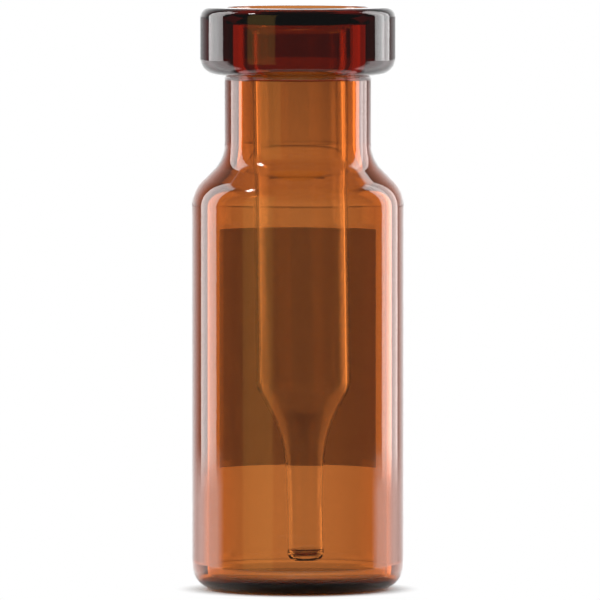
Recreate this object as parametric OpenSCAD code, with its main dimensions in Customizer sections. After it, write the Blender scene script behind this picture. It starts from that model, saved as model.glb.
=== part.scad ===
// Crimp-top sample vial in amber glass, 12 x 32 mm size, with a conical micro-insert of clear
// glass seated in its mouth and a white marking patch fired on the back of its wall.
// +Z is the vial's axis, the foot stands on Z = 0, and the marking patch faces +Y.
// The vial and the insert are each one revolved section, drawn in the plane of radius and height.

/* [Vial body] */
// Overall height of the vial
vial_height = 31.85; // [30:0.05:40]
// Outside diameter of the straight body
body_od = 11.6; // [11:0.1:15]
// Thickness of the body wall
body_wall = 0.9; // [0.7:0.05:1.3]
// Height at which the body wall would meet the shoulder's slope
shoulder_height = 21.8; // [20.5:0.1:23]
// Slope of the shoulder, measured from the vertical
shoulder_angle = 45; // [35:1:55]
// Outside radius where the body wall turns into the shoulder
shoulder_radius = 2; // [1.4:0.1:2.4]
// Outside radius where the shoulder turns up into the neck
neck_radius = 2; // [1:0.1:2.4]
// Outside radius of the heel
heel_radius = 1.4; // [0.8:0.1:1.8]

/* [Base] */
// Height of the inside floor above the foot
floor_height = 0.8; // [0.6:0.05:1.6]
// Inside radius where the wall meets the floor
floor_radius = 0.4; // [0.2:0.05:1.8]
// Depth of the shallow dish in the underside
dish_depth = 0.15; // [0.05:0.01:0.3]
// Width of the flat ring between the dish and the heel
foot_width = 0.7; // [0.3:0.1:1.5]

/* [Neck and crimp head] */
// Outside diameter of the neck
neck_od = 8; // [7.7:0.1:8.6]
// Diameter of the bore through neck and head
bore_d = 6.1; // [5.8:0.1:6.3]
// Outside diameter of the crimp head
head_od = 10.65; // [10.2:0.05:11]
// Height of the crimp head where it meets the neck
head_height = 3.82; // [3:0.01:5]
// Rise of the head's underside towards its edge
underside_angle = 14; // [5:1:20]
// Radius of the head's upper edge
head_top_radius = 0.5; // [0.3:0.05:0.8]
// Radius of the head's lower edge
head_low_radius = 0.85; // [0.3:0.05:1]
// Radius in the corner between neck and head
head_root_radius = 0.2; // [0.05:0.05:0.5]

/* [Mouth seat] */
// Radius of the ball-shaped seat that the insert's rim lies in
seat_radius = 4.95; // [4.6:0.05:5.6]
// Diameter of the mouth where the seat meets the sealing land
mouth_d = 7.9; // [7.6:0.1:8]
// Radius of the mouth's inner lip
lip_radius = 0.15; // [0.05:0.01:0.2]
// Depth of the insert's rim below the sealing land
rim_recess = 0.15; // [0.05:0.01:0.25]

/* [Insert] */
// Outside diameter of the insert's tube
tube_od = 5.2; // [4.8:0.1:5.4]
// Wall thickness of the tube and of its flared rim
tube_wall = 0.28; // [0.24:0.02:0.4]
// Gap between the insert's tip and the vial's floor
tip_gap = 0.8; // [0.3:0.05:2]
// Outside diameter at the foot of the stem
tip_od = 2; // [1.96:0.02:2.4]
// Radius round the foot of the stem
tip_radius = 0.4; // [0.1:0.05:0.45]
// Thickness of the glass that closes the stem
plug_height = 0.3; // [0.2:0.05:1]
// Radius inside the bottom of the stem
pocket_radius = 0.35; // [0.1:0.05:0.4]
// Wall thickness of the narrow stem
stem_wall = 0.1; // [0.06:0.02:0.2]
// Outside diameter to which the stem's waist is drawn
waist_od = 1.96; // [1.8:0.02:1.98]
// Height of the waist above the tip
waist_height = 3.05; // [2.5:0.05:3.5]
// Long radius of the drawn waist
waist_radius = 20; // [10:1:22]
// Outside diameter where the stem runs into the cone
cone_foot_od = 2.24; // [2.1:0.02:2.6]
// Height of the cone's foot above the tip
cone_foot_height = 6.7; // [6.3:0.1:9]
// Radius between stem and cone
cone_foot_radius = 7; // [3:0.5:8]
// Slope of the cone, measured from the vertical
cone_angle = 27.5; // [20:0.5:31.5]
// Wall thickness of the cone
cone_wall = 0.18; // [0.14:0.02:0.3]
// Radius between cone and tube
cone_top_radius = 0.9; // [0.5:0.1:1.2]
// Radius under the flared rim
flare_radius = 0.3; // [0.15:0.05:0.4]
// Radius where the tube's bore opens into the flare
funnel_radius = 0.4; // [0.2:0.05:0.5]
// Radius of both edges of the rim
rim_radius = 0.1; // [0.04:0.01:0.12]
// Lean of the insert about the centre of its seat
insert_lean = 0.75; // [0:0.05:1.5]

/* [Marking patch] */
// Height of the patch's lower edge above the foot
patch_bottom = 6.5; // [3:0.1:7.5]
// Height of the patch
patch_height = 13.1; // [6:0.1:13.5]
// Angle that the patch covers round the body
patch_angle = 124; // [60:1:160]
// Thickness of the fired enamel
patch_thickness = 0.05; // [0.03:0.01:0.1]

/* [Hidden] */
$fn = 180;

amber = [0.55, 0.27, 0.08, 0.6];
clear = [0.85, 0.93, 0.92, 0.45];
enamel = [0.93, 0.92, 0.88];

// Facets of a full circle where only a short piece of a large one is used
large_circle_facets = 1440;

// Added to an arc's radius, so that it crosses the line it runs into and doesn't merely touch it
arc_allowance = 0.0002;

// How far the piece that rounds a corner reaches past it
corner_reach = 0.05;

body_r = body_od / 2;
neck_r = neck_od / 2;
bore_r = bore_d / 2;
head_r = head_od / 2;
inner_r = body_r - body_wall;

// Heights at which the straight lines of the outside meet
neck_foot = shoulder_height + (body_r - neck_r) / tan(shoulder_angle);
head_root = vial_height - head_height;
head_edge = head_root + (head_r - neck_r) * tan(underside_angle);

// The shoulder's inside runs parallel to its outside, one body wall away
inner_shoulder = shoulder_height - body_wall * tan(shoulder_angle / 2);
inner_neck_foot = inner_shoulder + (inner_r - bore_r) / tan(shoulder_angle);

// The dish under the foot is part of a ball
dish_r = body_r - heel_radius - foot_width;
dish_ball = (pow(dish_r, 2) + pow(dish_depth, 2)) / (2 * dish_depth);

// The seat is part of a ball with its centre on the axis, above the mouth, and the insert's rim
// lies between that ball and a smaller one about the same centre
seat_centre = [0, vial_height + sqrt(pow(seat_radius, 2) - pow(mouth_d / 2, 2))];
rim_ball = seat_radius - tube_wall;
rim_height = vial_height - rim_recess;

tube_r = tube_od / 2;
tube_bore_r = tube_r - tube_wall;
tip_r = tip_od / 2;
tip = floor_height + tip_gap;
waist_r = waist_od / 2;
waist = tip + waist_height;
cone_foot_r = cone_foot_od / 2;
cone_foot = tip + cone_foot_height;
cone_top = cone_foot + (tube_r - cone_foot_r) / tan(cone_angle);

// The cone's inside runs parallel to its outside, one cone wall away
pocket = tip + plug_height;
stem_bore_r = cone_foot_r - stem_wall;
inner_cone_top = cone_top + (cone_wall - tube_wall * cos(cone_angle)) / sin(cone_angle);
inner_cone_foot = inner_cone_top - (tube_bore_r - stem_bore_r) / tan(cone_angle);

// The tube ends inside the flared rim, midway between the two balls
tube_end = (ball_at_radius(seat_radius, tube_r)[1] + ball_at_radius(rim_ball, tube_bore_r)[1]) / 2;

// Unit vector from one point to another
function toward(a, b) = (b - a) / norm(b - a);

// Point on a ball about the seat's centre, at a given height or at a given distance from the axis
function ball_at_height(ball, height) = [sqrt(pow(ball, 2) - pow(seat_centre[1] - height, 2)), height];
function ball_at_radius(ball, r) = [r, seat_centre[1] - sqrt(pow(ball, 2) - pow(r, 2))];

// Point where a rounding with its centre at c touches a ball about the seat's centre
function ball_touch(ball, c) = seat_centre + toward(seat_centre, c) * ball;

// An arc is [start, end, centre, radius], with the ends in the order in which an outline drawn
// anticlockwise meets them. This one rounds the corner of two straight lines.
function corner_arc(before, corner, after, radius) =
    let (u = toward(corner, before), v = toward(corner, after), half_angle = acos(u * v) / 2)
    [
        corner + u * radius / tan(half_angle),
        corner + v * radius / tan(half_angle),
        corner + toward([0, 0], u + v) * radius / sin(half_angle),
        radius
    ];

// Arcs of an outline of straight lines; each corner is [distance from axis, height, radius]
function outline_arcs(corners) =
    let (n = len(corners), points = [for (c = corners) [c[0], c[1]]])
    [for (i = [0 : n - 1]) if (corners[i][2] > 0)
        corner_arc(points[(i + n - 1) % n], points[i], points[(i + 1) % n], corners[i][2])];

// Positive where an arc bulges out of the region inside its outline, negative where it is hollow
function bulge(arc) = cross(arc[0] - arc[2], arc[1] - arc[2]);

// What lies between an arc and the corner that it rounds
module corner_piece(arc) {
    u = toward(arc[2], arc[0]);
    v = toward(arc[2], arc[1]);
    half_angle = acos(u * v) / 2;
    reach = arc[3] + corner_reach;
    translate(arc[2])
        difference() {
            polygon([toward([0, 0], u + v) * reach / cos(half_angle), u * reach, [0, 0], v * reach]);
            circle(r = arc[3] + arc_allowance);
        }
}

// Region inside an outline of straight lines, drawn anticlockwise, with its corners rounded
module rounded_outline(corners) {
    arcs = outline_arcs(corners);
    difference() {
        union() {
            polygon([for (c = corners) [c[0], c[1]]]);
            for (arc = arcs) if (bulge(arc) < 0) corner_piece(arc);
        }
        for (arc = arcs) if (bulge(arc) > 0) corner_piece(arc);
    }
}

// Foot, heel, wall, shoulder, neck and crimp head outside; bore, shoulder, wall and floor inside
module vial_outline() {
    rounded_outline([
        [0, 0, 0],
        [body_r, 0, heel_radius],
        [body_r, shoulder_height, shoulder_radius],
        [neck_r, neck_foot, neck_radius],
        [neck_r, head_root, head_root_radius],
        [head_r, head_edge, head_low_radius],
        [head_r, vial_height, head_top_radius],
        [bore_r, vial_height, 0],
        [bore_r, inner_neck_foot, neck_radius + body_wall],
        [inner_r, inner_shoulder, shoulder_radius - body_wall],
        [inner_r, floor_height, floor_radius],
        [0, floor_height, 0]
    ]);
}

module vial_body() {
    lip = ball_at_height(seat_radius + lip_radius, vial_height - lip_radius);
    color(amber)
        rotate_extrude()
            difference() {
                vial_outline();
                translate(seat_centre) circle(r = seat_radius);
                corner_piece([[lip[0], vial_height], ball_touch(seat_radius, lip), lip, lip_radius]);
                translate([0, dish_depth - dish_ball]) circle(r = dish_ball, $fn = large_circle_facets);
            }
}

// Tip, drawn waist, cone and tube of the insert, up into the flare
module tube_outline() {
    rounded_outline([
        [0, tip, 0],
        [tip_r, tip, tip_radius],
        [waist_r, waist, waist_radius],
        [cone_foot_r, cone_foot, cone_foot_radius],
        [tube_r, cone_top, cone_top_radius],
        [tube_r, tube_end, 0],
        [tube_bore_r, tube_end, 0],
        [tube_bore_r, inner_cone_top, cone_top_radius],
        [stem_bore_r, inner_cone_foot, cone_foot_radius],
        [waist_r - stem_wall, waist, waist_radius],
        [tip_r - stem_wall, pocket, pocket_radius],
        [0, pocket, 0]
    ]);
}

// The zone between the seat's ball and the smaller one, from the tube's bore up to the rim's top
module flare_outline() {
    foot = seat_centre[1] - seat_radius;
    intersection() {
        difference() {
            translate(seat_centre) circle(r = seat_radius);
            translate(seat_centre) circle(r = rim_ball);
        }
        translate([tube_bore_r, foot]) square([seat_radius, rim_height - foot]);
    }
}

module insert_outline() {
    flare = ball_at_radius(seat_radius + flare_radius, tube_r + flare_radius);
    funnel = ball_at_radius(rim_ball + funnel_radius, tube_bore_r + funnel_radius);
    edge = ball_at_height(seat_radius - rim_radius, rim_height - rim_radius);
    inner_edge = ball_at_height(rim_ball + rim_radius, rim_height - rim_radius);
    difference() {
        union() {
            tube_outline();
            flare_outline();
            corner_piece([[tube_r, flare[1]], ball_touch(seat_radius, flare), flare, flare_radius]);
        }
        corner_piece([ball_touch(seat_radius, edge), [edge[0], rim_height], edge, rim_radius]);
        corner_piece([[inner_edge[0], rim_height], ball_touch(rim_ball, inner_edge), inner_edge, rim_radius]);
        corner_piece([ball_touch(rim_ball, funnel), [tube_bore_r, funnel[1]], funnel, funnel_radius]);
    }
}

module insert() {
    color(clear)
        translate([0, 0, seat_centre[1]])
            rotate([0, -insert_lean, 0])
                translate([0, 0, -seat_centre[1]])
                    rotate_extrude() insert_outline();
}

module marking_patch() {
    color(enamel)
        rotate([0, 0, 90 - patch_angle / 2])
            rotate_extrude(angle = patch_angle)
                translate([body_r, patch_bottom]) square([patch_thickness, patch_height]);
}

vial_body();
insert();
marking_patch();
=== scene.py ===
import math

import bpy
import numpy as np
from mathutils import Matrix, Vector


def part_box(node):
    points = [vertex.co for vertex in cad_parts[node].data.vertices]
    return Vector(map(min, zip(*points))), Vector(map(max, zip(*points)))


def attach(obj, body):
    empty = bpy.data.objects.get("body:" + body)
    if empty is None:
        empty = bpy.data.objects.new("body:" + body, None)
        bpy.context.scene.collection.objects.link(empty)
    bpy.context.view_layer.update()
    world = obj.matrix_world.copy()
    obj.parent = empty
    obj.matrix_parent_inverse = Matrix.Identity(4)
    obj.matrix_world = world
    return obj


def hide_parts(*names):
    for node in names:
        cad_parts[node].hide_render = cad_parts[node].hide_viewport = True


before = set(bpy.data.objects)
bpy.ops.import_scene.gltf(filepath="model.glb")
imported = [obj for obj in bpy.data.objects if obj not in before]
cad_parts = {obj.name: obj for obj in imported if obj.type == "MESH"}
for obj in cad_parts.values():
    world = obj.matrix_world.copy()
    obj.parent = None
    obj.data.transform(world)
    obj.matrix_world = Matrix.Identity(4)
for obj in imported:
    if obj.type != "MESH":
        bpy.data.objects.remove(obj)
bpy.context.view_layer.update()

MM = 0.001

# ---- Sizes in millimetres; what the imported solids' boxes tell is read from them -------------------

vial_low, vial_high = (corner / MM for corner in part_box("vial_body"))
patch_low, patch_high = (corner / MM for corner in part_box("marking_patch"))

VIAL_HEIGHT = vial_high.z
BODY_R = vial_high.x
WALL = 0.9
HEEL_ROUND = 1.4
FLOOR_HEIGHT = 0.8
FLOOR_ROUND = 0.4
DISH_DEPTH = 0.15
FOOT_WIDTH = 0.7

SHOULDER_HEIGHT = 21.8
SHOULDER_SLOPE = math.radians(45)
SHOULDER_ROUND = 2.0
NECK_R = 4.0
NECK_ROUND = 2.0
BORE_R = 3.05

HEAD_R = 5.325
HEAD_HEIGHT = 3.82
HEAD_UNDERCUT = math.radians(14)
HEAD_TOP_ROUND = 0.5
HEAD_LOW_ROUND = 0.85
HEAD_ROOT_ROUND = 0.2

SEAT_BALL = 4.95
MOUTH_R = 3.95
LIP_ROUND = 0.15
RIM_RECESS = 0.15

INSERT_TIP = FLOOR_HEIGHT + 0.8
INSERT_LEAN = math.radians(0.75)
TUBE_R = 2.6
TUBE_WALL = 0.28
TIP_R = 1.0
TIP_ROUND = 0.4
PLUG = 0.3
POCKET_ROUND = 0.35
STEM_WALL = 0.1
WAIST_R = 0.98
WAIST_RISE = 3.05
WAIST_ROUND = 20.0
CONE_FOOT_R = 1.12
CONE_FOOT_RISE = 6.7
CONE_FOOT_ROUND = 7.0
CONE_SLOPE = math.radians(27.5)
CONE_WALL = 0.18
CONE_TOP_ROUND = 0.9
FLARE_ROUND = 0.3
FUNNEL_ROUND = 0.4
RIM_ROUND = 0.1

# The insert's rim rests in its seat with a film of air between the two glasses
SEAT_FILM = 0.004
# The enamel is sunk this far into the glass that it was fired on
ENAMEL_BITE = 0.01

# How finely the pieces are drawn
ARC_STEP = math.radians(4)
VIAL_SIDES = 288
INSERT_SIDES = 256
ENAMEL_COLUMNS = 124
ENAMEL_ROWS = 40

# ---- Outlines: points (distance from axis, height) -------------------------------------------------


def unit(v):
    return v / np.linalg.norm(v)


def arc(start, end, centre, radius):
    """Points and outward normals of an arc of an outline drawn anticlockwise round the glass."""
    start, end, centre = (np.array(p, float) for p in (start, end, centre))
    a = math.atan2(*(start - centre)[::-1])
    b = math.atan2(*(end - centre)[::-1])
    turn = (b - a + math.pi) % (2 * math.pi) - math.pi
    count = max(2, math.ceil(abs(turn) / ARC_STEP))
    side = 1 if turn > 0 else -1
    made = []
    for i in range(count + 1):
        way = np.array([math.cos(a + turn * i / count), math.sin(a + turn * i / count)])
        made.append((centre + way * radius, way * side))
    return made


def rounding(before, corner, after, radius):
    """The arc that rounds a corner between two straight lines."""
    corner = np.array(corner, float)
    u, v = unit(np.array(before) - corner), unit(np.array(after) - corner)
    half = math.acos(u @ v) / 2
    reach = radius / math.tan(half)
    centre = corner + unit(u + v) * radius / math.sin(half)
    return arc(corner + u * reach, corner + v * reach, centre, radius)


def outline(runs):
    """Joins arcs, single points and corners (distance, height, rounding) into (start, end, normals)."""
    plain = [run[:2] if isinstance(run, tuple) else None for run in runs]
    arcs = []
    for i, run in enumerate(runs):
        if not isinstance(run, tuple):
            arcs.append(run)
        elif len(run) == 3:
            before = plain[i - 1] if plain[i - 1] else runs[i - 1][-1][0]
            after = plain[i + 1] if plain[i + 1] else runs[i + 1][0][0]
            arcs.append(rounding(before, plain[i], after, run[2]))
        else:
            arcs.append([(np.array(run, float), None)])
    pieces = []
    last = None
    for points in arcs:
        if last is not None and np.linalg.norm(points[0][0] - last) > 1e-6:
            along = unit(points[0][0] - last)
            out = np.array([along[1], -along[0]])
            pieces.append((last, points[0][0], out, out))
        for (p, n), (q, m) in zip(points, points[1:]):
            pieces.append((p, q, n, m))
        last = points[-1][0]
    return pieces


seat_centre = np.array([0.0, VIAL_HEIGHT + math.sqrt(SEAT_BALL**2 - MOUTH_R**2)])


def on_ball(ball, height=None, r=None):
    """Point on a ball about the seat's centre, at a height or at a distance from the axis."""
    if height is not None:
        return np.array([math.sqrt(ball**2 - (seat_centre[1] - height) ** 2), height])
    return np.array([r, seat_centre[1] - math.sqrt(ball**2 - r**2)])


def touch_ball(ball, centre):
    """Point where a rounding about centre touches a ball about the seat's centre."""
    return seat_centre + unit(centre - seat_centre) * ball


def vial_outline():
    inner_r = BODY_R - WALL
    neck_foot = SHOULDER_HEIGHT + (BODY_R - NECK_R) / math.tan(SHOULDER_SLOPE)
    inner_shoulder = SHOULDER_HEIGHT - WALL * math.tan(SHOULDER_SLOPE / 2)
    inner_neck_foot = inner_shoulder + (inner_r - BORE_R) / math.tan(SHOULDER_SLOPE)
    head_root = VIAL_HEIGHT - HEAD_HEIGHT
    head_edge = head_root + (HEAD_R - NECK_R) * math.tan(HEAD_UNDERCUT)
    dish_r = BODY_R - HEEL_ROUND - FOOT_WIDTH
    dish_ball = (dish_r**2 + DISH_DEPTH**2) / (2 * DISH_DEPTH)
    lip = on_ball(SEAT_BALL + LIP_ROUND, height=VIAL_HEIGHT - LIP_ROUND)
    lip_end = touch_ball(SEAT_BALL, lip)
    return outline([
        arc((0, DISH_DEPTH), (dish_r, 0), (0, DISH_DEPTH - dish_ball), dish_ball),
        (BODY_R, 0, HEEL_ROUND),
        (BODY_R, SHOULDER_HEIGHT, SHOULDER_ROUND),
        (NECK_R, neck_foot, NECK_ROUND),
        (NECK_R, head_root, HEAD_ROOT_ROUND),
        (HEAD_R, head_edge, HEAD_LOW_ROUND),
        (HEAD_R, VIAL_HEIGHT, HEAD_TOP_ROUND),
        arc((lip[0], VIAL_HEIGHT), lip_end, lip, LIP_ROUND),
        arc(lip_end, on_ball(SEAT_BALL, r=BORE_R), seat_centre, SEAT_BALL),
        (BORE_R, inner_neck_foot, NECK_ROUND + WALL),
        (inner_r, inner_shoulder, SHOULDER_ROUND - WALL),
        (inner_r, FLOOR_HEIGHT, FLOOR_ROUND),
        (0, FLOOR_HEIGHT),
    ])


def insert_outline():
    ball = SEAT_BALL - SEAT_FILM
    rim_ball = SEAT_BALL - TUBE_WALL
    rim_height = VIAL_HEIGHT - RIM_RECESS
    tube_bore_r = TUBE_R - TUBE_WALL
    cone_foot = INSERT_TIP + CONE_FOOT_RISE
    cone_top = cone_foot + (TUBE_R - CONE_FOOT_R) / math.tan(CONE_SLOPE)
    pocket = INSERT_TIP + PLUG
    stem_bore_r = CONE_FOOT_R - STEM_WALL
    thinning = (CONE_WALL - TUBE_WALL * math.cos(CONE_SLOPE)) / math.sin(CONE_SLOPE)
    inner_cone_top = cone_top + thinning
    inner_cone_foot = inner_cone_top - (tube_bore_r - stem_bore_r) / math.tan(CONE_SLOPE)
    waist = INSERT_TIP + WAIST_RISE
    flare = on_ball(ball + FLARE_ROUND, r=TUBE_R + FLARE_ROUND)
    funnel = on_ball(rim_ball + FUNNEL_ROUND, r=tube_bore_r + FUNNEL_ROUND)
    edge = on_ball(ball - RIM_ROUND, height=rim_height - RIM_ROUND)
    inner_edge = on_ball(rim_ball + RIM_ROUND, height=rim_height - RIM_ROUND)
    flare_end = touch_ball(ball, flare)
    edge_start = touch_ball(ball, edge)
    inner_end = touch_ball(rim_ball, inner_edge)
    funnel_start = touch_ball(rim_ball, funnel)
    return outline([
        (0, INSERT_TIP),
        (TIP_R, INSERT_TIP, TIP_ROUND),
        (WAIST_R, waist, WAIST_ROUND),
        (CONE_FOOT_R, cone_foot, CONE_FOOT_ROUND),
        (TUBE_R, cone_top, CONE_TOP_ROUND),
        arc((TUBE_R, flare[1]), flare_end, flare, FLARE_ROUND),
        arc(flare_end, edge_start, seat_centre, ball),
        arc(edge_start, (edge[0], rim_height), edge, RIM_ROUND),
        arc((inner_edge[0], rim_height), inner_end, inner_edge, RIM_ROUND),
        arc(inner_end, funnel_start, seat_centre, rim_ball),
        arc(funnel_start, (tube_bore_r, funnel[1]), funnel, FUNNEL_ROUND),
        (tube_bore_r, inner_cone_top, CONE_TOP_ROUND),
        (stem_bore_r, inner_cone_foot, CONE_FOOT_ROUND),
        (WAIST_R - STEM_WALL, waist, WAIST_ROUND),
        (TIP_R - STEM_WALL, pocket, POCKET_ROUND),
        (0, pocket),
    ])


# ---- Meshes ----------------------------------------------------------------------------------------


def mesh_piece(name, points, faces, normals, material):
    """A mesh object from millimetres, with one normal for every corner of every face."""
    mesh = bpy.data.meshes.new(name)
    mesh.from_pydata([tuple(p * MM for p in point) for point in points], [], faces)
    mesh.shade_smooth()
    mesh.normals_split_custom_set(normals)
    mesh.materials.append(material)
    piece = bpy.data.objects.new(name, mesh)
    bpy.context.scene.collection.objects.link(piece)
    return piece


def turned_piece(name, pieces, sides, material, place=lambda v: v, turn=lambda v: v):
    """Turns an outline round the axis. place moves a point and turn a normal."""
    angles = [2 * math.pi * i / sides for i in range(sides)]
    points, rings = [], {}

    def ring(p):
        key = (round(p[0], 7), round(p[1], 7))
        if key not in rings:
            first = len(points)
            if p[0] < 1e-6:
                points.append(place((0.0, 0.0, p[1])))
                rings[key] = [first] * (sides + 1)
            else:
                points.extend(place((p[0] * math.cos(a), p[0] * math.sin(a), p[1])) for a in angles)
                rings[key] = [first + i for i in range(sides)] + [first]
        return rings[key]

    faces, normals = [], []
    for p, q, n, m in pieces:
        low, high = ring(p), ring(q)
        for i in range(sides):
            a, b = angles[i], angles[(i + 1) % sides]
            corners = ((low[i], n, a), (low[i + 1], n, b), (high[i + 1], m, b), (high[i], m, a))
            kept = [c for j, c in enumerate(corners) if c[0] != corners[j - 1][0]]
            faces.append([c[0] for c in kept])
            for _, way, angle in kept:
                normals.append(turn((way[0] * math.cos(angle), way[0] * math.sin(angle), way[1])))
    return mesh_piece(name, points, faces, normals, material)


def lean_turn(v):
    """Turns a direction by the insert's lean, its tip going towards +X."""
    c, s = math.cos(INSERT_LEAN), math.sin(INSERT_LEAN)
    return (v[0] * c - v[2] * s, v[1], v[0] * s + v[2] * c)


def lean_place(v):
    """Leans a point about the centre of the seat's ball."""
    x, y, z = lean_turn((v[0], v[1], v[2] - seat_centre[1]))
    return (x, y, z + seat_centre[1])


# ---- Shader maths ----------------------------------------------------------------------------------


class Strand:
    """A socket that can be reckoned with: an expression on strands adds Math nodes."""

    def __init__(self, tree, socket=None):
        self.tree = tree
        self.socket = socket

    def node(self, kind, settings=None, sockets=None, out=0):
        """Adds a node: its type, its settings, then the values or links of its sockets."""
        made = self.tree.nodes.new(kind)
        for name, value in (settings or {}).items():
            setattr(made, name, value)
        for name, value in (sockets or {}).items():
            if isinstance(value, Strand):
                self.tree.links.new(value.socket, made.inputs[name])
            else:
                made.inputs[name].default_value = value
        return Strand(self.tree, made.outputs[out] if made.outputs else None)

    def other(self, name):
        """Another output of the node that this value comes from."""
        return Strand(self.tree, self.socket.node.outputs[name])

    def math(self, operation, *values, clamp=False):
        settings = {"operation": operation, "use_clamp": clamp}
        return self.node("ShaderNodeMath", settings, dict(enumerate(values)))

    def __add__(self, other):
        return self.math("ADD", self, other)

    def __radd__(self, other):
        return self.math("ADD", other, self)

    def __sub__(self, other):
        return self.math("SUBTRACT", self, other)

    def __rsub__(self, other):
        return self.math("SUBTRACT", other, self)

    def __mul__(self, other):
        return self.math("MULTIPLY", self, other)

    def __rmul__(self, other):
        return self.math("MULTIPLY", other, self)

    def __truediv__(self, other):
        return self.math("DIVIDE", self, other)

    def __rtruediv__(self, other):
        return self.math("DIVIDE", other, self)

    def ramp(self, low, high, to_low=0.0, to_high=1.0):
        """A smooth step from to_low to to_high as this value goes from low to high."""
        sockets = {"Value": self, "From Min": low, "From Max": high, "To Min": to_low, "To Max": to_high}
        return self.node("ShaderNodeMapRange", {"interpolation_type": "SMOOTHSTEP"}, sockets)

    def between(self, low, high, soft):
        """1 from low to high and 0 outside, with edges of width soft."""
        risen = self.ramp(low - soft / 2, low + soft / 2)
        return risen * self.ramp(high - soft / 2, high + soft / 2, 1, 0)

    def mix(self, factor, a, b):
        """A colour between a and b."""
        sockets = {"Factor": factor, 6: a, 7: b}
        return self.node("ShaderNodeMix", {"data_type": "RGBA"}, sockets, out=2)

    def noise(self, vector, scale, detail):
        """Cloudy noise, with scale clouds to the metre."""
        sockets = {"Vector": vector, "Scale": scale, "Detail": detail}
        return self.node("ShaderNodeTexNoise", {}, sockets)


def new_tree(name, world=False):
    data = bpy.data.worlds.new(name) if world else bpy.data.materials.new(name)
    data.use_nodes = True
    data.node_tree.nodes.clear()
    return data, Strand(data.node_tree)


def stretched(g, along=1.0):
    """Object coordinates with their height scaled, so that a pattern is drawn out along the vial."""
    place = g.node("ShaderNodeTexCoord", out=3)
    return g.node("ShaderNodeMapping", {}, {"Vector": place, "Scale": (1.0, 1.0, along)})


# ---- Materials -------------------------------------------------------------------------------------

# What a millimetre of each glass takes from red, green and blue
AMBER = (0.57, 1.25, 2.15)
CLEAR = (0.02, 0.012, 0.016)
# Clouds to the metre in each pattern
WAVES = 260
DIMPLES = 900
SMUDGES = 420
ENAMEL_CLOUDS = 500
ENAMEL_GRAIN = 9000
FLOOR_SPECKLE = 3000
# Long waves and smudges of drawn glass: their height is scaled by these
DRAWN = 0.15
WIPED = 0.6
# Heights of the surface's unevenness, in millimetres
AMBER_WAVE = 0.002
CLEAR_WAVE = 0.0015
ENAMEL_ROUGH = 0.01


def glass(name, ior, absorbed, wave_height):
    """Clear or coloured glass of a drawn tube, with faint long waves and a few shallow dimples."""
    material, g = new_tree(name)
    waves = g.noise(stretched(g, along=DRAWN), WAVES, detail=2)
    dimples = g.noise(stretched(g), DIMPLES, detail=1)
    height = waves * 0.8 + dimples * 0.2
    uneven = {"Strength": 1.0, "Distance": wave_height * MM, "Height": height}
    bump = g.node("ShaderNodeBump", {}, uneven)
    smudges = g.noise(stretched(g, along=WIPED), SMUDGES, detail=4)
    principled = g.node("ShaderNodeBsdfPrincipled", {}, {
        "Base Color": (1, 1, 1, 1),
        "Roughness": smudges.ramp(0.55, 0.8, 0.0, 0.02),
        "IOR": ior,
        "Transmission Weight": 1.0,
        "Normal": bump,
    })
    densest = max(absorbed)
    tint = tuple(1 - part / densest for part in absorbed)
    volume = g.node("ShaderNodeVolumeAbsorption", {}, {"Color": (*tint, 1), "Density": densest / MM})
    g.node("ShaderNodeOutputMaterial", {}, {"Surface": principled, "Volume": volume})
    return material


def fired_enamel():
    """White enamel, screen-printed and fired on: matt, with a fine grain that lets some light through."""
    material, g = new_tree("white_enamel")
    place = stretched(g)
    cloud = g.noise(place, ENAMEL_CLOUDS, detail=3)
    grain = g.noise(place, ENAMEL_GRAIN, detail=2)
    colour = g.mix(cloud.ramp(0.3, 0.7), (0.84, 0.832, 0.805, 1), (0.87, 0.865, 0.84, 1))
    rough = {"Strength": 0.6, "Distance": ENAMEL_ROUGH * MM, "Height": grain}
    bump = g.node("ShaderNodeBump", {}, rough)
    principled = g.node("ShaderNodeBsdfPrincipled", {}, {
        "Base Color": colour,
        "Roughness": grain.ramp(0.3, 0.7, 0.55, 0.7),
        "IOR": 1.5,
        "Alpha": grain.ramp(0.3, 0.7, 0.46, 0.5),
        "Normal": bump,
    })
    g.node("ShaderNodeOutputMaterial", {}, {"Surface": principled})
    return material


amber_glass = glass("amber_glass", 1.51, AMBER, AMBER_WAVE)
clear_glass = glass("clear_glass", 1.48, CLEAR, CLEAR_WAVE)
white_enamel = fired_enamel()

# ---- Pieces ----------------------------------------------------------------------------------------

vial = turned_piece("vial_glass", vial_outline(), VIAL_SIDES, amber_glass)
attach(vial, "root")
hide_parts("vial_body")

insert = turned_piece(
    "insert_glass", insert_outline(), INSERT_SIDES, clear_glass, lean_place, lean_turn
)
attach(insert, "root")
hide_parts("insert")


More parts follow.
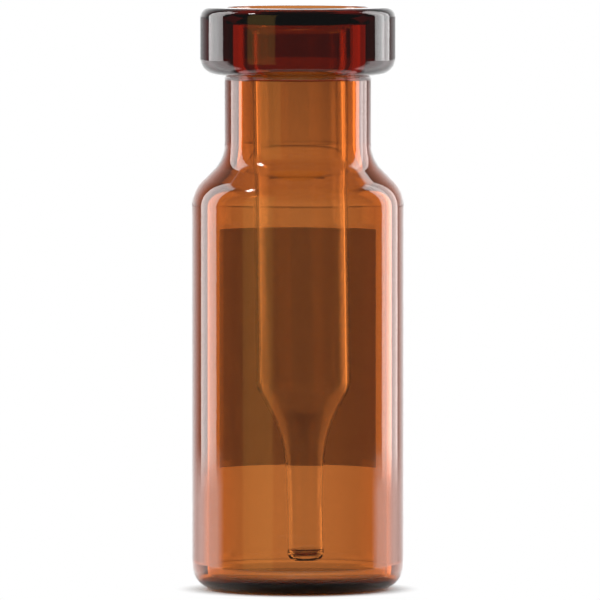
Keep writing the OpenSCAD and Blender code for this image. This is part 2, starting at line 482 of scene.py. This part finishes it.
def enamel_patch():
    """A thin bent sheet of enamel, closed all round."""
    low, high = patch_low.z, patch_high.z
    outer = patch_high.y
    inner = BODY_R - ENAMEL_BITE
    half = math.asin(patch_high.x / outer)
    columns, rows = ENAMEL_COLUMNS, ENAMEL_ROWS
    angles = [math.pi / 2 - half + 2 * half * i / columns for i in range(columns + 1)]
    heights = [low + (high - low) * j / rows for j in range(rows + 1)]
    points = []
    for r in (outer, inner):
        for z in heights:
            points.extend((r * math.cos(a), r * math.sin(a), z) for a in angles)
    wide, sheet = columns + 1, (columns + 1) * (rows + 1)
    faces, normals = [], []

    def face(corners, ways):
        faces.append(corners)
        normals.extend(ways)

    def out(i):
        return (math.cos(angles[i]), math.sin(angles[i]), 0.0)

    def back(i):
        return (-math.cos(angles[i]), -math.sin(angles[i]), 0.0)

    for j in range(rows):
        for i in range(columns):
            a = j * wide + i
            b, c, d = a + 1, a + 1 + wide, a + wide
            face([a, b, c, d], [out(i), out(i + 1), out(i + 1), out(i)])
            face([d + sheet, c + sheet, b + sheet, a + sheet], [back(i), back(i + 1), back(i + 1), back(i)])
    for i in range(columns):
        a = i
        face([a, a + sheet, a + 1 + sheet, a + 1], [(0, 0, -1)] * 4)
        a = rows * wide + i
        face([a, a + 1, a + 1 + sheet, a + sheet], [(0, 0, 1)] * 4)
    start, end = out(0), out(columns)
    start_way = (start[1], -start[0], 0.0)
    end_way = (-end[1], end[0], 0.0)
    for j in range(rows):
        a = j * wide
        face([a, a + wide, a + wide + sheet, a + sheet], [start_way] * 4)
        a = j * wide + columns
        face([a, a + sheet, a + wide + sheet, a + wide], [end_way] * 4)
    return mesh_piece("enamel_patch", points, faces, normals, white_enamel)


patch = enamel_patch()
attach(patch, "root")
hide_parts("marking_patch")

# ---- Floor -----------------------------------------------------------------------------------------

# Millimetres from the axis, to each side of it, or behind it; a minus sign is before it
FLOOR_RADIUS = 24
FLOOR_SIDES = 96
# The floor's own shade with the shadow goes over into white
WHITE_FROM, WHITE_FULL = 4.7, 6.8
# Glass sees a painted glow, emission that stands in for lit floor, from some way off the foot, and only
# from the middle backwards
GLOW_FROM, GLOW_FULL = 5.4, 9.0
GLOW_REAR_FROM, GLOW_REAR_FULL = -6, 2
# Under the soft boxes, to either side, the painted glow is stronger: a painted pool of light
SIDE_FROM, SIDE_FULL = 5.0, 8.0
SIDE_REAR_FROM, SIDE_REAR_FULL = -3, 1
SIDE_GLOW = 0.6


def studio_floor():
    """Pale floor under the vial. It keeps the shadow near the foot and runs out into the backdrop. To glass
    it shows a painted glow behind and beside the vial.
    """
    material, g = new_tree("pale_floor")
    place = g.node("ShaderNodeTexCoord", out=3)
    reach = g.node("ShaderNodeVectorMath", {"operation": "LENGTH"}, {0: place}, out=1)
    aside = g.node("ShaderNodeSeparateXYZ", {}, {"Vector": place})
    rear = aside.other("Y")
    speckle = g.noise(place, FLOOR_SPECKLE, detail=2)
    colour = g.mix(speckle.ramp(0.3, 0.7), (0.86, 0.86, 0.86, 1), (0.9, 0.9, 0.9, 1))
    matt = g.node("ShaderNodeBsdfPrincipled", {}, {"Base Color": colour, "Roughness": 0.8})
    rays = g.node("ShaderNodeLightPath")
    through = rays.other("Is Glossy Ray") + rays.other("Is Transmission Ray")
    beside = g.math("ABSOLUTE", aside).ramp(SIDE_FROM * MM, SIDE_FULL * MM)
    beside = beside * rear.ramp(SIDE_REAR_FROM * MM, SIDE_REAR_FULL * MM)
    behind = reach.ramp(GLOW_FROM * MM, GLOW_FULL * MM)
    behind = behind * rear.ramp(GLOW_REAR_FROM * MM, GLOW_REAR_FULL * MM)
    lit = g.math("MAXIMUM", behind, beside)
    # Painted pool of light: the glow that glass sees is brighter beside the vial, under the soft boxes
    strength = 1 + beside * through * SIDE_GLOW
    glow = g.node("ShaderNodeEmission", {}, {"Color": (1, 1, 1, 1), "Strength": strength})
    white = reach.ramp(WHITE_FROM * MM, WHITE_FULL * MM) * rays.other("Is Camera Ray")
    glowing = g.math("ADD", white, lit * through, clamp=True)
    surface = g.node("ShaderNodeMixShader", {}, {0: glowing, 1: matt, 2: glow})
    g.node("ShaderNodeOutputMaterial", {}, {"Surface": surface})
    mesh = bpy.data.meshes.new("studio_floor")
    radius = FLOOR_RADIUS * MM
    rim = [2 * math.pi * i / FLOOR_SIDES for i in range(FLOOR_SIDES)]
    points = [(radius * math.cos(a), radius * math.sin(a), 0) for a in rim]
    mesh.from_pydata(points, [], [range(FLOOR_SIDES)])
    mesh.materials.append(material)
    floor = bpy.data.objects.new("studio_floor", mesh)
    bpy.context.scene.collection.objects.link(floor)


studio_floor()

# ---- Light -----------------------------------------------------------------------------------------

# Two tall soft boxes, left and right of the vial, a low golden reflector before it and a small lamp
# high on the left. Bearings are degrees from the camera's side, right is positive; heights are
# degrees above the horizon. Each list gives the brightness at a few bearings. BACKDROP and TABLE
# are alike on both sides; SWEEP, at a few heights, dims the backdrop near the horizon and far up.
# ROOM is the dim light of all the rest.
LEFT_BOX = [
    (-131.5, 0.0), (-130.5, 4.3), (-125, 4.3), (-120, 4.0),
    (-113, 4.6), (-105, 4.2), (-100.5, 3.9), (-99.5, 0.0),
]
RIGHT_BOX = [
    (104, 0.0), (105, 3.6), (109, 4.2), (117, 4.8), (119, 5.8),
    (123.5, 5.8), (125.5, 3.2), (132, 3.3), (138.5, 4.0), (140, 0.0),
]
BACKDROP = [(132, 0.0), (140, 0.4), (147, 0.8), (155, 1.1), (165, 1.22), (180, 1.22)]
TABLE = [(88, 0.0), (99, 2.6), (130, 2.2), (142, 1.2), (150, 1.1), (165, 1.22), (180, 1.22)]
SWEEP = [
    (-4, 0.95), (-2.4, 0.95), (-2.0, 0.74), (-1.75, 0.58), (-1.63, 0.36),
    (-1.35, 0.36), (-1.2, 1.1), (12, 1.0), (30, 0.3), (60, 0.05),
]
BOX_TOP = 45
BOX_FOOT = -3.6
TABLE_FOOT = -45
ROOM = 0.15
# Left, right, foot and top in degrees, then brightness
REFLECTOR = (-62, -27, -25, 40, 0.8)
LAMP = (-80, -71, 46, 54, 22)
GOLD = (1.0, 0.62, 0.14)
# Widths in degrees over which edges fade
TOP_EDGE = 4
FOOT_EDGE = 0.3
TABLE_EDGE = 6
REFLECTOR_EDGE = 3
LAMP_EDGE = 2


def studio_world():
    world, g = new_tree("studio", world=True)
    way = g.node("ShaderNodeTexCoord")
    x = g.node("ShaderNodeSeparateXYZ", {}, {"Vector": way})
    bearing = g.math("ARCTAN2", x, 0 - x.other("Y")) * (180 / math.pi)
    height = g.math("ARCSINE", x.other("Z")) * (180 / math.pi)

    def profile(angle, stops):
        """Brightness that runs in straight lines between stops of (angle, brightness)."""
        total = stops[0][1]
        for (a, low), (b, high) in zip(stops, stops[1:]):
            if low != high:
                sockets = {0: angle, 1: a, 2: b, 3: 0.0, 4: high - low}
                total = total + g.node("ShaderNodeMapRange", {"clamp": True}, sockets)
        return total

    def risen(foot, edge):
        """0 below the foot and 1 above it; a negative edge turns it over."""
        return height.ramp(foot - edge / 2, foot + edge / 2)

    def card(box, edge):
        """Light of a flat card that fills a box of bearings and heights."""
        left, right, low, high, bright = box
        return bearing.between(left, right, edge) * height.between(low, high, edge) * bright

    aside = g.math("ABSOLUTE", bearing)
    boxes = profile(bearing, LEFT_BOX) + profile(bearing, RIGHT_BOX)
    above = risen(BOX_FOOT, FOOT_EDGE)
    boxes = boxes * above * risen(BOX_TOP, -TOP_EDGE)
    behind = profile(aside, BACKDROP) * above * profile(height, SWEEP)
    table = profile(aside, TABLE) * (1 - above) * risen(TABLE_FOOT, TABLE_EDGE)
    light = boxes + behind + table + ROOM + card(LAMP, LAMP_EDGE)
    gold = card(REFLECTOR, REFLECTOR_EDGE)
    camera_ray = g.node("ShaderNodeLightPath").other("Is Camera Ray")
    colour = g.mix(gold / (gold + light), (1, 1, 1, 1), (*GOLD, 1))
    strength = light + gold
    # The camera itself sees plain white
    strength = strength + camera_ray * (1 - strength)
    colour = g.mix(camera_ray, colour, (1, 1, 1, 1))
    shade = g.node("ShaderNodeBackground", {}, {"Color": colour, "Strength": strength})
    g.node("ShaderNodeOutputWorld", {}, {"Surface": shade})
    bpy.context.scene.world = world


studio_world()

# ---- Camera ----------------------------------------------------------------------------------------

# Millimetres from the foot's centre; FRAME_WIDTH is what the picture spans at the vial
CAMERA_BACK = 650.0
CAMERA_HEIGHT = 47.5
CAMERA_SIDE = 0.12
AIM_HEIGHT = 15.838
FRAME_WIDTH = 32.8
SENSOR_WIDTH = 36
# Light passes through many faces of glass before it reaches the camera
BOUNCES = 32


def studio_camera():
    data = bpy.data.cameras.new("camera")
    camera = bpy.data.objects.new("camera", data)
    bpy.context.scene.collection.objects.link(camera)
    drop = CAMERA_HEIGHT - AIM_HEIGHT
    distance = math.hypot(CAMERA_BACK, drop)
    camera.location = (CAMERA_SIDE * MM, -CAMERA_BACK * MM, CAMERA_HEIGHT * MM)
    camera.rotation_euler = (math.pi / 2 - math.atan2(drop, CAMERA_BACK), 0, 0)
    data.sensor_width = SENSOR_WIDTH
    data.lens = SENSOR_WIDTH * distance / FRAME_WIDTH
    data.clip_start, data.clip_end = 0.01, 100
    bpy.context.scene.camera = camera


studio_camera()
bpy.context.scene.view_settings.view_transform = "Standard"
cycles = bpy.context.scene.cycles
cycles.max_bounces = BOUNCES
cycles.transmission_bounces = BOUNCES
cycles.glossy_bounces = BOUNCES
cycles.transparent_max_bounces = BOUNCES
cycles.volume_bounces = 2
cycles.caustics_reflective = True
cycles.caustics_refractive = True
cycles.blur_glossy = 0.0
